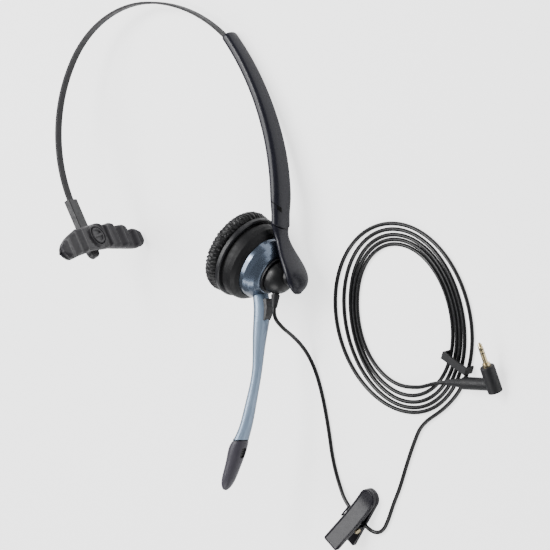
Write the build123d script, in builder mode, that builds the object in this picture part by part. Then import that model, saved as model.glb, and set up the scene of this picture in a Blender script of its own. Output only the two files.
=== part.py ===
from build123d import *

import os
from math import atan2, cos, degrees, pi, radians, sin, tan

os.makedirs("parts", exist_ok=True)

# An office headset with one ear capsule, lying on a table. It is modelled in the
# headband's own plane: X runs from the temple pad to the ear capsule, Y to the
# crown of the head, Z across the head. LAID then sets the finished headset down
# on the table. The cord, its clip and its plug lie on the table at z = 0.

# ---- Driving dimensions (mm, degrees) ----
strip_width = 4.0
strip_thickness = 1.2
crown = (-65.3, 130.0)  # highest point of the strip's centre line
crown_radius_ear = 77.9
crown_radius_pad = 56.4
side_radius = 75.3
slide_radius = 82.1
crown_turn_ear = 41.7
crown_turn_pad = 60.0
side_turn = 59.0
slide_depth = 45.0  # strip inside the arm at rest
slide_travel = 20.0

arm_thickness = 6.0
arm_axis_x = 19.4  # neck swivel axis
arm_straight_top = 28.6
arm_radius_low = 116.9
arm_radius_high = 137.3
arm_turn_low = 18.65
arm_turn_high = 21.6
neck_sphere_y = 23.0
neck_sphere_radius = 8.0
joint_gap = 0.3
running_gap = 0.05
neck_pin_radius = 1.3

capsule_tilt = 28.0  # capsule axis against X, in the headband's plane
capsule_origin = (-6.9, 4.4)
cushion_radius = 21.3
cushion_hole_radius = 9.5
ring_radius = 21.5
ball_station = 27.5  # distance of the ball's centre along the capsule axis
ball_radius = 8.5
socket_radius = 9.8

pad_gap = 0.4
pad_curve_radius = 123.0
pad_depth_rubber = 3.4
pad_depth_backing = 1.6
pad_pivot_station = 21.2  # along the stem from its mouth
pad_pin_radius = 2.0
boss_radius = 4.5

# The table's plane, seen from the headband: the headset rests on the temple pad's
# end, the ear capsule's ring and the mouth of the arm.
table_in_headset = Plane(
    origin=(-42.625, 12.342, -26.041), x_dir=(0.99018, -0.02424, 0.13768),
    z_dir=(-0.1398, -0.1717, 0.97518),
)
LAID = table_in_headset.location.inverse()


def across(angle):
    """Unit vector in the headband's plane at an angle from +X."""
    return Vector(cos(radians(angle)), sin(radians(angle)), 0)


def lofted(stations, shrink=0.0):
    """Loft oval sections, each (x, y, direction angle, thickness, width)."""
    with BuildPart() as body:
        for x, y, angle, thickness, width in stations:
            section_plane = Plane(origin=(x, y, 0), x_dir=(0, 0, 1), z_dir=tuple(across(angle)))
            with BuildSketch(section_plane):
                Ellipse(width / 2 - shrink, thickness / 2 - shrink)
        loft()
    return body.part


# ---- Spring band: one flat steel strip from the temple pad to inside the arm ----
with BuildPart() as spring_band:
    with BuildSketch() as strip_sketch:
        with BuildLine() as strip_line:
            ear_arc = JernArc(crown, (1, 0), crown_radius_ear, -crown_turn_ear)
            slide_arc = JernArc(
                ear_arc @ 1, ear_arc % 1, slide_radius, -degrees(slide_depth / slide_radius)
            )
            pad_arc = JernArc(crown, (-1, 0), crown_radius_pad, crown_turn_pad)
            side_arc = JernArc(pad_arc @ 1, pad_arc % 1, side_radius, side_turn)
            tail = Line(side_arc @ 1, side_arc @ 1 + (side_arc % 1) * 10)
        trace(strip_line.line, line_width=strip_thickness)
    extrude(amount=strip_width / 2, both=True)
spring_band.part.label = "spring_band"

arm_mouth = ear_arc @ 1
mouth_angle = 90 - crown_turn_ear  # of the mouth, seen from the slide's centre
slide_centre = slide_arc.center_point


def slide_ring(depth_start, depth_end, inner, outer, half_width):
    """Curved block on the slide's arc, between two depths inside the arm."""
    start = mouth_angle - degrees(depth_start / slide_radius)
    turn = -degrees((depth_end - depth_start) / slide_radius)
    middle = slide_radius + (inner + outer) / 2
    with BuildPart() as ring:
        with BuildSketch() as ring_sketch:
            with BuildLine() as ring_line:
                CenterArc(tuple(slide_centre), middle, start, turn)
            trace(ring_line.line, line_width=outer - inner)
        extrude(amount=half_width, both=True)
    return ring.part


# ---- Slider shoe: moulded on the strip's hidden end, it stops the pull-out ----
with BuildPart() as slider_shoe:
    add(slide_ring(slide_depth - 6, slide_depth + 0.8, -1.4, 1.4, 2.6))
    add(slide_ring(slide_depth - 7, slide_depth, -0.6, 0.6, 2.0), mode=Mode.SUBTRACT)
slider_shoe.part.label = "slider_shoe"

# ---- Arm: two shells round the slide channel, on a round neck ----
with BuildPart() as arm_solid:
    with BuildSketch() as arm_sketch:
        with BuildLine() as arm_line:
            arm_base = Line((arm_axis_x, 12), (arm_axis_x, arm_straight_top))
            arm_low = JernArc(arm_base @ 1, (0, 1), arm_radius_low, arm_turn_low)
            arm_high = JernArc(arm_low @ 1, arm_low % 1, arm_radius_high, arm_turn_high)
        trace(arm_line.line, line_width=arm_thickness)
    extrude(amount=7, both=True)
    with BuildSketch(Plane.YZ.offset(-40)) as arm_taper:
        with BuildLine():
            taper = Polyline((10, 6.2), (40, 6.0), (80, 5.0), (107, 4.3))
            mirror(taper, about=Plane.XZ)
            ThreePointArc((107, 4.3), (111.5, 0), (107, -4.3))
            Line((10, 6.2), (10, -6.2))
        make_face()
    extrude(amount=90, mode=Mode.INTERSECT)
    fillet(arm_solid.edges().filter_by(lambda edge: edge.length > 25), 1.6)

arm_seam_offset = 1.0  # the shells part this far outside the arm's middle
with BuildPart() as arm_parting:
    with BuildSketch():
        with BuildLine():
            seam_x = arm_axis_x + arm_seam_offset
            skew = Line((14.0, 33.3), (seam_x, 27.0))
            seam_base = Line(skew @ 1, (seam_x, arm_straight_top))
            seam_low = JernArc(seam_base @ 1, (0, 1), arm_radius_low + arm_seam_offset, arm_turn_low)
            seam_high = JernArc(
                seam_low @ 1, seam_low % 1, arm_radius_high + arm_seam_offset, arm_turn_high
            )
            seam_end = Line(seam_high @ 1, seam_high @ 1 + (seam_high % 1) * 8)
            Polyline(seam_end @ 1, (-45, 100), (14.0, 33.3))
        make_face()
    extrude(amount=8, both=True)

neck_bore_radius = neck_pin_radius + running_gap
neck_head_radius = 2.2
neck_head_y = 20.0
with BuildPart() as arm_hollow:
    add(slide_ring(-3, 16, -0.9, 0.9, 2.3))
    add(slide_ring(15, 48, -1.7, 1.7, 2.9))
    add(slide_ring(4, 9.5, 0.9, 1.45, 1.7))
    with Locations(Plane.XZ.offset(-14) * Location((arm_axis_x, 0, 0))):
        Cylinder(neck_bore_radius, 6, align=(Align.CENTER, Align.CENTER, Align.MAX))
    with Locations(Plane.XZ.offset(-neck_head_y + 0.1) * Location((arm_axis_x, 0, 0))):
        Cylinder(neck_head_radius + 0.1, 1.6, align=(Align.CENTER, Align.CENTER, Align.MAX))

with BuildPart() as neck_trim:
    with Locations((arm_axis_x, neck_sphere_y - 8, 0)):
        Box(20, 16, 20)
    with Locations((arm_axis_x, neck_sphere_y, 0)):
        Sphere(neck_sphere_radius, mode=Mode.SUBTRACT)

with BuildPart() as arm_inner_cover:
    add(arm_solid.part)
    add(neck_trim.part, mode=Mode.SUBTRACT)
    add(arm_parting.part, mode=Mode.INTERSECT)
    add(arm_hollow.part, mode=Mode.SUBTRACT)
arm_inner_cover.part.label = "arm_inner_cover"

with BuildPart() as arm_outer_shell:
    add(arm_solid.part)
    add(neck_trim.part, mode=Mode.SUBTRACT)
    add(arm_parting.part, mode=Mode.SUBTRACT)
    add(arm_hollow.part, mode=Mode.SUBTRACT)
arm_outer_shell.part.label = "arm_outer_shell"

# ---- Detent spring: a small leaf over the strip, just inside the arm's mouth ----
with BuildPart() as detent_spring:
    add(slide_ring(4.3, 9.2, 1.05, 1.4, 1.6))
detent_spring.part.label = "detent_spring"

# ---- Neck pin: fixed in the yoke, its head held inside the arm ----
with BuildPart() as neck_pin:
    with BuildSketch(Plane.XZ.offset(-11)):
        with Locations((arm_axis_x, 0)):
            Circle(neck_pin_radius)
    extrude(amount=-(neck_head_y - 11))
    with BuildSketch(Plane.XZ.offset(-neck_head_y)):
        with Locations((arm_axis_x, 0)):
            Circle(neck_head_radius)
    extrude(amount=-1.2)
neck_pin.part.label = "neck_pin"


# ---- Yoke: the forked neck that carries the ball, in a frame and an outer cover ----
capsule_centre = Vector(*capsule_origin, 0)
outward = across(-capsule_tilt)
ball_centre = capsule_centre + outward * ball_station
capsule_axis = Axis(tuple(capsule_centre), tuple(outward))
capsule_profile = Plane(origin=tuple(capsule_centre), x_dir=tuple(outward), z_dir=(0, 0, 1))
yoke_stations = [
    (19.4, 20.0, -90.0, 6.0, 12.4),
    (19.4, 15.5, -90.0, 5.6, 11.0),
    (20.3, 11.0, -72.5, 5.0, 9.6),
    (22.6, 5.5, -64.0, 5.2, 11.5),
    (25.6, 0.0, -61.3, 5.8, 14.5),
    (28.6, -5.5, -65.2, 6.2, 16.5),
    (30.2, -10.5, -81.4, 6.0, 15.5),
    (30.2, -14.0, -90.0, 4.6, 11.5),
    (30.0, -16.2, -90.0, 2.4, 6.5),
]
yoke_wall = 1.3
ball_seat_x = 26.2
screw_radius = 1.4

with BuildPart() as yoke_parting:
    with BuildSketch():
        with BuildLine():
            Polyline(
                (40, 9.6), (21.6, 9.0), (23.0, 5.0), (25.7, 0), (28.5, -5.5), (29.4, -10.5),
                (29.4, -20), (40, -20), (40, 9.6),
            )
        make_face()
    extrude(amount=12, both=True)

with BuildPart() as housing_sweep:  # room that the turning ear capsule needs
    with BuildSketch(capsule_profile):
        with BuildLine():
            Polyline((16.0, 16.9), (19.2, 16.6), (21.9, 15.4), (24.0, 13.3), (25.4, 11.6),
                     (25.9, 10.4), (25.9, 0), (16.0, 0), (16.0, 16.9))
        make_face()
    revolve(axis=capsule_axis)
    with Locations(tuple(ball_centre)):
        Sphere(ball_radius + 0.1)

with BuildPart() as yoke_solid:
    add(lofted(yoke_stations))
    add(housing_sweep.part, mode=Mode.SUBTRACT)
    with Locations((arm_axis_x, neck_sphere_y, 0)):
        Sphere(neck_sphere_radius + joint_gap, mode=Mode.SUBTRACT)
    with Locations(Plane.XZ.offset(-10.8) * Location((arm_axis_x, 0, 0))):
        Cylinder(neck_pin_radius, 8, align=(Align.CENTER, Align.CENTER, Align.MAX),
                 mode=Mode.SUBTRACT)

with BuildPart() as yoke_frame:
    add(yoke_solid.part)
    add(yoke_parting.part, mode=Mode.SUBTRACT)
    with Locations(Plane(origin=(ball_seat_x, ball_centre.Y, 0), z_dir=(-1, 0, 0))):
        Cylinder(boss_radius, 6, align=(Align.CENTER, Align.CENTER, Align.MIN),
                 mode=Mode.SUBTRACT)
    with Locations(Plane(origin=(40, ball_centre.Y, 0), z_dir=(-1, 0, 0))):
        Cylinder(screw_radius, 20, align=(Align.CENTER, Align.CENTER, Align.MIN),
                 mode=Mode.SUBTRACT)
yoke_frame.part.label = "yoke_frame"

with BuildPart() as yoke_cover:
    add(yoke_solid.part)
    add(yoke_parting.part, mode=Mode.INTERSECT)
    add(lofted(yoke_stations[3:8], yoke_wall), mode=Mode.SUBTRACT)
yoke_cover.part.label = "yoke_cover"

# ---- Ball: a hollow shell on a boss, screwed to the yoke's frame ----
ball_wall = 1.4
lead_radius = 1.0
relief_direction = Vector(-0.05, -1.0, 0.1).normalized()
relief_plane = Plane(origin=tuple(ball_centre), z_dir=tuple(relief_direction))
with BuildPart() as ball_shell:
    with Locations(tuple(ball_centre)):
        Sphere(ball_radius)
    with Locations(Plane(origin=(ball_seat_x, ball_centre.Y, 0), z_dir=(-1, 0, 0))):
        Cylinder(boss_radius, 4, align=(Align.CENTER, Align.CENTER, Align.MIN))
    with Locations(tuple(ball_centre)):
        Sphere(ball_radius - ball_wall, mode=Mode.SUBTRACT)
    with Locations(Plane(origin=(40, ball_centre.Y, 0), z_dir=(-1, 0, 0))):
        Cylinder(screw_radius, 18, align=(Align.CENTER, Align.CENTER, Align.MIN),
                 mode=Mode.SUBTRACT)
    with Locations(relief_plane):
        Cylinder(1.8, 12, align=(Align.CENTER, Align.CENTER, Align.MIN), mode=Mode.SUBTRACT)
    with Locations(Plane(origin=tuple(ball_centre), z_dir=tuple(-outward))):
        Cylinder(2.2, 12, align=(Align.CENTER, Align.CENTER, Align.MIN), mode=Mode.SUBTRACT)
ball_shell.part.label = "ball_shell"

with BuildPart() as ball_screw:
    with BuildSketch(Plane(origin=(22.6, ball_centre.Y, 0), z_dir=(1, 0, 0))):
        Circle(screw_radius - running_gap)
    extrude(amount=29.0 - 22.6 + 0.4)
    with BuildSketch(Plane(origin=(29.4, ball_centre.Y, 0), z_dir=(1, 0, 0))):
        Circle(2.0)
    extrude(amount=1.1)
ball_screw.part.label = "ball_screw"

# ---- Strain relief: the short rubber cone where the cord leaves the ball ----
relief_length = 6.5
with BuildPart() as cord_strain_relief:
    with BuildSketch(Plane(relief_plane.origin + relief_direction * 6.9, z_dir=relief_direction)):
        Circle(1.75)
    extrude(amount=ball_radius - 6.9 + 0.4)
    with BuildSketch(Plane(relief_plane.origin + relief_direction * 8.9, z_dir=relief_direction)):
        Circle(2.3)
    with BuildSketch(
        Plane(relief_plane.origin + relief_direction * (8.9 + relief_length), z_dir=relief_direction)
    ):
        Circle(1.4)
    loft()
cord_strain_relief.part.label = "cord_strain_relief"


# ---- Ear capsule: every piece turns about one axis; k runs along it, r across it ----


def turned(outline):
    """Turn a closed (k, r) outline about the capsule's axis."""
    with BuildPart() as body:
        with BuildSketch(capsule_profile):
            with BuildLine():
                Polyline(*outline, outline[0])
            make_face()
        revolve(axis=capsule_axis)
    return body.part



# Ear cushion: a soft ring, plain here
with BuildPart() as ear_cushion:
    with BuildSketch(capsule_profile):
        with BuildLine() as cushion_line:
            FilletPolyline(
                (4.5, cushion_hole_radius), (4.5, cushion_radius), (-1.5, cushion_radius),
                (-6.0, 16.6), (-6.0, cushion_hole_radius), (4.0, cushion_hole_radius),
                radius=[0.8, 4.0, 4.0, 2.0],
            )
            Line((4.0, cushion_hole_radius), (4.5, cushion_hole_radius))
        make_face()
    revolve(axis=capsule_axis)
ear_cushion.part.label = "ear_cushion"

# Cloth disc in the cushion's hole, in front of the grille
with BuildPart() as cushion_cloth:
    add(turned([(2.5, 0), (2.5, cushion_hole_radius), (3.2, cushion_hole_radius), (3.2, 0)]))
cushion_cloth.part.label = "cushion_cloth"

# Ring that the cushion is stretched over, with a stepped bore for the grille
with BuildPart() as cushion_ring:
    add(turned([
        (4.5, 12.2), (4.5, 21.0), (5.0, ring_radius), (6.7, ring_radius), (7.2, 21.0),
        (7.2, 16.8), (6.4, 16.8), (6.4, 12.2),
    ]))
cushion_ring.part.label = "cushion_ring"

# Grille: a perforated plate in the ring's bore
with BuildPart() as speaker_grille:
    add(turned([(5.0, 0), (5.0, 12.15), (6.0, 12.15), (6.0, 0)]))
    with BuildSketch(Plane(origin=tuple(capsule_centre + outward * 4), z_dir=tuple(outward))):
        Circle(1.0)
        with PolarLocations(4.2, 6):
            Circle(1.0)
        with PolarLocations(8.2, 12):
            Circle(1.0)
    extrude(amount=4, mode=Mode.SUBTRACT)
speaker_grille.part.label = "speaker_grille"

# Speaker: diaphragm, basket and magnet
with BuildPart() as speaker_diaphragm:
    add(turned([
        (6.7, 0), (8.0, 4.6), (6.6, 12.4), (6.6, 15.4), (7.3, 15.4), (7.3, 12.6), (8.7, 4.8),
        (7.6, 0),
    ]))
speaker_diaphragm.part.label = "speaker_diaphragm"

with BuildPart() as speaker_basket:
    add(turned([
        (7.4, 13.6), (7.4, 16.6), (8.4, 16.6), (8.4, 14.4), (12.0, 9.0), (12.0, 0), (11.2, 0),
        (11.2, 8.2),
    ]))
speaker_basket.part.label = "speaker_basket"

with BuildPart() as speaker_magnet:
    add(turned([(12.0, 0), (12.0, 8.0), (15.2, 8.0), (15.2, 0)]))
speaker_magnet.part.label = "speaker_magnet"

# Front shell: the dark bell behind the ring, with a groove beside it
with BuildPart() as front_shell:
    add(turned([
        (7.2, 19.3), (9.2, 19.3), (9.2, 20.2), (11.5, 20.1), (13.6, 19.7), (15.6, 18.3),
        (16.8, 16.6), (16.8, 9.0), (15.8, 9.0), (15.8, 15.9), (14.9, 17.2), (13.2, 18.2),
        (9.0, 18.2), (9.0, 16.65), (7.2, 16.65),
    ]))
front_shell.part.label = "front_shell"

# Rear housing: the domed shell that turns on the socket's neck
bearing_start = 21.0
housing_profile = [
    (16.8, 16.2), (19.0, 16.0), (21.5, 14.8), (23.5, 12.8), (24.8, 11.2), (25.2, 10.4),
]
with BuildPart() as rear_housing:
    add(turned(housing_profile + [
        (25.2, socket_radius + running_gap), (bearing_start, socket_radius + running_gap),
        (bearing_start, 13.0), (19.0, 14.5), (16.8, 14.7),
    ]))
rear_housing.part.label = "rear_housing"

# Socket: the cup round the ball, with a flange that holds the housing on
socket_gap = 0.3
with BuildPart() as ball_socket:
    add(turned([
        (19.2, 3.0), (19.2, 12.0), (20.4, 12.0), (20.4, socket_radius), (26.2, socket_radius),
        (26.2, 3.0),
    ]))
    with Locations(tuple(ball_centre)):
        Sphere(ball_radius + socket_gap, mode=Mode.SUBTRACT)
ball_socket.part.label = "ball_socket"

# ---- Boom: a solid flattened arm that grows out of the rear housing ----
boom_stations = [
    (6.6, -13.0, -90.0, 7.2, 9.4),
    (6.9, -18.0, -90.0, 7.2, 9.4),
    (7.3, -30.0, -92.0, 7.4, 9.2),
    (6.0, -40.0, -97.0, 6.2, 7.8),
    (5.1, -50.0, -97.0, 5.2, 6.0),
    (3.6, -60.0, -101.0, 4.8, 5.4),
    (1.1, -70.0, -105.0, 5.2, 6.0),
    (-1.6, -80.0, -107.0, 5.6, 7.0),
    (-6.0, -90.5, -88.0, 7.6, 9.0),
]
tip_stations = [
    (-6.1, -90.7, -88.0, 7.7, 9.1),
    (-9.8, -100.0, -111.0, 7.8, 9.2),
    (-13.0, -108.0, -112.0, 6.6, 8.0),
    (-15.2, -113.0, -112.0, 4.6, 5.6),
    (-16.0, -115.0, -112.0, 2.0, 2.6),
]
insert_depth = 1.6
with BuildPart() as boom_root_insert:
    with BuildSketch() as insert_sketch:
        with BuildLine():
            Polyline((9.3, -19.5), (12.2, -19.2), (12.7, -23.5), (12.0, -28.0), (10.6, -30.5),
                     (9.3, -28.5), (9.3, -19.5))
        make_face()
    extrude(amount=2.6, both=True)
    fillet(edges().filter_by(Axis.Z), 0.4)
boom_root_insert.part.label = "boom_root_insert"

with BuildPart() as boom:
    add(lofted(boom_stations))
    add(turned(housing_profile + [(25.2, 0), (16.8, 0)]), mode=Mode.SUBTRACT)
    add(boom_root_insert.part, mode=Mode.SUBTRACT)
boom.part.label = "boom"

# Microphone: a hollow tip with the capsule behind a small grille on its outer side
mic_direction = across(-21)
mic_plane = Plane(origin=(-7.9, -95.2, 0), x_dir=(0, 0, 1), z_dir=tuple(mic_direction))
mic_radius = 2.5
with BuildPart() as boom_tip:
    add(lofted(tip_stations))
    add(lofted(tip_stations[1:4], 1.3), mode=Mode.SUBTRACT)
    with BuildSketch(mic_plane.offset(-1.6)):
        Circle(mic_radius)
    extrude(amount=3.6, mode=Mode.SUBTRACT)
    with BuildSketch(mic_plane.offset(2.0)):
        RectangleRounded(3.2, 5.6, 1.2)
    extrude(amount=6, mode=Mode.SUBTRACT)
boom_tip.part.label = "boom_tip"

with BuildPart() as mic_capsule:
    with BuildSketch(mic_plane.offset(-1.4)):
        Circle(mic_radius - running_gap)
    extrude(amount=2.6)
mic_capsule.part.label = "mic_capsule"

with BuildPart() as mic_grille:
    with BuildSketch(mic_plane.offset(2.0)):
        RectangleRounded(3.2, 5.6, 1.2)
        with GridLocations(1.0, 1.2, 2, 4):
            Circle(0.3, mode=Mode.SUBTRACT)
    extrude(amount=1.2)
mic_grille.part.label = "mic_grille"

# ---- Stem: the sleeve on the strip's lower end, carrying the temple pad's pin ----
stem_start = side_arc @ 1
stem_down = side_arc % 1
pad_normal = Vector(-stem_down.Y, stem_down.X, 0)
pad_pivot = stem_start + stem_down * pad_pivot_station
stem_plane = Plane(origin=tuple(pad_pivot), x_dir=(0, 0, -1), z_dir=tuple(pad_normal))
stem_half = 1.8
sleeve_up = 3.0  # the sleeve reaches this far up the strip
nub_radius = 3.5
nub_drop = 5.7  # from the pivot to the nub's centre
with BuildPart() as stem:
    with BuildSketch(stem_plane.offset(-stem_half)):
        stem_top = pad_pivot_station + sleeve_up
        with Locations((0, (stem_top - nub_drop) / 2)):
            Rectangle(2 * nub_radius, stem_top + nub_drop)
        with Locations((0, -nub_drop)):
            Circle(nub_radius)
    extrude(amount=2 * stem_half)
    fillet(edges().filter_by(lambda edge: edge.length > 9), 0.6)
    add(spring_band.part, mode=Mode.SUBTRACT)
    with BuildSketch(stem_plane.offset(-stem_half)):
        Circle(pad_pin_radius + running_gap)
    extrude(amount=2 * stem_half, mode=Mode.SUBTRACT)
stem.part.label = "stem"

# ---- Temple pad: a ribbed rubber pad on a backing plate, curved round the head ----
pad_back = stem_half + pad_gap
pad_section = Plane(origin=tuple(pad_pivot), x_dir=(0, 0, -1), z_dir=tuple(stem_down))
pad_bend = 18.0  # half of the arc that the pad spans, degrees


def pad_layer(depth_start, depth_end, inset):
    """One curved layer of the temple pad, between two depths in front of the stem."""
    middle = (depth_start + depth_end) / 2
    with BuildPart() as layer:
        with BuildSketch(pad_section) as layer_section:
            with BuildLine() as layer_line:
                CenterArc((0, pad_back + pad_curve_radius), pad_curve_radius + pad_back - middle,
                          -90 - pad_bend, 2 * pad_bend)
            trace(layer_line.line, line_width=depth_end - depth_start)
        extrude(amount=14, both=True)
        with BuildSketch(stem_plane):
            with Locations((-27.0, -4.5)):
                Circle(6.0 - inset)
            with Locations((0, 0.3)):
                Circle(7.6 - inset)
            with Locations((29.0, -0.5)):
                Circle(4.0 - inset)
            make_hull()
        extrude(amount=16, mode=Mode.INTERSECT)
        with BuildSketch(stem_plane):
            Circle(pad_pin_radius + running_gap)
        extrude(amount=16, mode=Mode.SUBTRACT)
    return layer.part


backing_front = pad_back + pad_depth_backing
with BuildPart() as pad_backing:
    add(pad_layer(pad_back, backing_front, 0.5))
pad_backing.part.label = "pad_backing"

rivet_head = 1.4
rivet_sink = 0.8
rubber_front = backing_front + pad_depth_rubber
with BuildPart() as pad_rubber:
    add(pad_layer(backing_front, rubber_front, 0))
    with BuildSketch(stem_plane.offset(rubber_front - rivet_sink)):
        Circle(boss_radius + 0.1)
    extrude(amount=4, mode=Mode.SUBTRACT)
pad_rubber.part.label = "pad_rubber"

with BuildPart() as pad_rivet:
    with BuildSketch(stem_plane.offset(rubber_front - rivet_sink)):
        Circle(boss_radius)
    extrude(amount=rivet_head)
    fillet(edges().group_by(SortBy.LENGTH)[-1], 0.3)
    with BuildSketch(stem_plane.offset(-stem_half - 0.2)):
        Circle(pad_pin_radius)
    extrude(amount=rubber_front - rivet_sink + stem_half + 0.2)
    with BuildSketch(stem_plane.offset(-stem_half - 0.1)):
        Circle(3.0)
    extrude(amount=-0.7)
pad_rivet.part.label = "pad_rivet"

headset = [
    spring_band, slider_shoe, arm_inner_cover, arm_outer_shell, detent_spring, neck_pin,
    yoke_frame, yoke_cover, ball_shell, ball_screw, cord_strain_relief, ear_cushion,
    cushion_cloth, cushion_ring, speaker_grille, speaker_diaphragm, speaker_basket,
    speaker_magnet, front_shell, rear_housing, ball_socket, boom, boom_root_insert, boom_tip,
    mic_capsule, mic_grille, stem, pad_backing, pad_rubber, pad_rivet,
]
for piece in headset:
    piece.part.locate(LAID)


def on_table(point):
    """A point of the headset's frame, as it lies on the table."""
    return (LAID * Location(tuple(point))).position


# ---- Cord: one limp cord from the relief, through the clip, to the coil ----
relief_end = on_table(relief_plane.origin + relief_direction * (8.9 + relief_length))
relief_ahead = on_table(relief_plane.origin + relief_direction * (8.9 + relief_length + 4.5))
clip_plane = Plane(origin=(84.75, -140, 0), x_dir=(0.6655, 0.7467, 0), z_dir=(0, 0, 1))
clip_cord_height = 2.9
clip_cord_along = -1.0
clip_entry = clip_plane.from_local_coords(Vector(clip_cord_along, 9.6, clip_cord_height))
clip_exit = clip_plane.from_local_coords(Vector(clip_cord_along, -7.5, clip_cord_height))
cord_route = [
    relief_end, relief_ahead, (64.0, -41.5, 21.5), (62.2, -47.0, 13.5), (61.3, -53.0, 7.0),
    (61.7, -60.0, 2.6), (63.9, -69.0, 1.0), (66.6, -81.5, 1.0), (68.1, -97.0, 1.0),
    (68.6, -112.0, 1.0), (71.2, -124.3, 1.0), tuple(clip_entry), tuple(clip_exit),
    (94.2, -148.7, 1.4), (99.4, -147.2, 1.0), (103.9, -141.4, 1.0), (108.4, -133.6, 1.0),
    (114.6, -124.6, 1.0), (120.8, -113.0, 1.0), (128.2, -100.9, 1.2), (134.9, -88.4, 1.5),
]


def bend_radii(route):
    """The widest arc at each inner point of a route: 0.45 of the shorter run."""
    points = [Vector(*point) for point in route]
    radii = []
    for before, here, after in zip(points, points[1:], points[2:]):
        run_in, run_out = here - before, after - here
        half_turn = radians(run_in.get_angle(run_out)) / 2
        radii.append(0.45 * min(run_in.length, run_out.length) / tan(half_turn))
    return radii


cord_radii = bend_radii([tuple(point) for point in cord_route])
with BuildPart() as cord_run:
    with BuildLine() as cord_path:
        FilletPolyline(*cord_route, radius=cord_radii)
    with BuildSketch(Plane(origin=cord_path.line @ 0, z_dir=cord_path.line % 0)):
        Circle(lead_radius)
    sweep()
cord_run.part.label = "cord_run"
print("cord bend radii", [round(radius, 1) for radius in cord_radii])
cord_run_length = sum(edge.length for edge in cord_path.edges())
print("cord run length", cord_run_length, "volume ratio",
      cord_run.part.volume / (cord_run_length * pi * lead_radius**2))

# ---- Cord coil: the outer shape of five loose turns of the same cord ----
coil_centre = (129.4, -39.7)
coil_radius_inner = 34.0
coil_radius_outer = 49.0
coil_height = 4.6
coil_middle = (coil_radius_inner + coil_radius_outer) / 2
coil_width = coil_radius_outer - coil_radius_inner
plug_axis_height = 4.6
relief_y = -69.1
plug_tilt = 17.0
plug_direction = Vector(0, cos(radians(plug_tilt)), sin(radians(plug_tilt)))
plug_base = Vector(191.0, -72.7, 3.65)
plug_body_radius = 3.75
plug_body_length = 14.0
leg_radius = 3.2
leg_end_x = 171.0
relief_tip_x = 158.5

with BuildPart() as plug_strain_relief:
    with BuildSketch(Plane(origin=(leg_end_x, relief_y, plug_axis_height), z_dir=(-1, 0, 0))):
        Circle(2.5)
    with BuildSketch(Plane(origin=(relief_tip_x, relief_y, plug_axis_height), z_dir=(-1, 0, 0))):
        Circle(1.4)
    loft()
plug_strain_relief.part.label = "plug_strain_relief"

with BuildPart() as cord_coil:
    with BuildSketch(Plane(origin=(*coil_centre, 0), x_dir=(1, 0, 0), z_dir=(0, -1, 0))):
        with Locations((coil_middle, coil_height / 2)):
            RectangleRounded(coil_width, coil_height, 1.8)
    revolve(axis=Axis((*coil_centre, 0), (0, 0, 1)))
    add(plug_strain_relief.part, mode=Mode.SUBTRACT)
    add(cord_run.part, mode=Mode.SUBTRACT)
cord_coil.part.label = "cord_coil"

# ---- Coil tie: a strap over the coil, down to the table on both sides ----
tie_angle = -28.0
with BuildPart() as coil_tie:
    tie_plane = Plane(
        origin=(*coil_centre, 0), x_dir=tuple(across(tie_angle)),
        z_dir=tuple(across(tie_angle - 90)),
    )
    with BuildSketch(tie_plane):
        with Locations((coil_middle, coil_height / 2 + 0.6)):
            Rectangle(coil_width + 2.0, coil_height + 1.2)
        with Locations((coil_middle, coil_height / 2)):
            Rectangle(coil_width + 0.4, coil_height + 0.2, mode=Mode.SUBTRACT)
    extrude(amount=2.0, both=True)
coil_tie.part.label = "coil_tie"

# ---- Plug: an angled moulding with a 2.5 mm three-pole pin ----
with BuildPart() as plug_body:
    with BuildSketch(Plane(origin=tuple(plug_base), z_dir=tuple(plug_direction))):
        Circle(plug_body_radius)
    extrude(amount=plug_body_length)
    fillet(edges().group_by(Axis.Y)[-1], 0.8)
plug_body.part.label = "plug_body"

leg_start_x = plug_base.X
with BuildPart() as plug_leg:
    with BuildSketch(Plane(origin=(leg_start_x, relief_y, plug_axis_height), z_dir=(-1, 0, 0))):
        Circle(leg_radius)
    extrude(amount=leg_start_x - leg_end_x)
    add(plug_body.part, mode=Mode.SUBTRACT)
plug_leg.part.label = "plug_leg"

pin_radius = 1.25
pin_start = plug_base + plug_direction * plug_body_length
pin_pieces = [
    ("plug_collar", 0.0, 1.6, 2.0), ("pin_sleeve", 1.6, 7.0, pin_radius),
    ("pin_insulator_rear", 7.0, 7.5, pin_radius), ("pin_ring", 7.5, 9.1, pin_radius),
    ("pin_insulator_front", 9.1, 9.6, pin_radius),
]
plug_pieces = []
for label, start, end, radius in pin_pieces:
    with BuildPart() as pin_piece:
        start_point = pin_start + plug_direction * start
        with BuildSketch(Plane(origin=tuple(start_point), z_dir=tuple(plug_direction))):
            Circle(radius)
        extrude(amount=end - start)
    pin_piece.part.label = label
    plug_pieces.append(pin_piece)

with BuildPart() as pin_tip:
    tip_start = pin_start + plug_direction * 9.6
    with BuildSketch(Plane(origin=tuple(tip_start), x_dir=(1, 0, 0), z_dir=(
        0, -sin(radians(plug_tilt)), cos(radians(plug_tilt))
    ))):
        with BuildLine():
            Polyline((0, 0), (1.25, 0), (1.25, 0.9), (0.85, 1.3), (1.25, 1.9), (0.5, 3.1),
                     (0, 3.1), (0, 0))
        make_face()
    revolve(axis=Axis(tuple(tip_start), tuple(plug_direction)))
pin_tip.part.label = "pin_tip"

# ---- Clip: a sprung clothing clip, its cord eyelet and its pivot ----
clip_length = 34.0
clip_width = 10.0
clip_plate = 1.8
clip_pivot = (-5.5, 4.6)  # along the clip, height
clip_pin_radius = 0.9
clip_side = Plane(
    origin=tuple(clip_plane.origin), x_dir=tuple(clip_plane.x_dir), z_dir=tuple(-clip_plane.y_dir)
)


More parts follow.
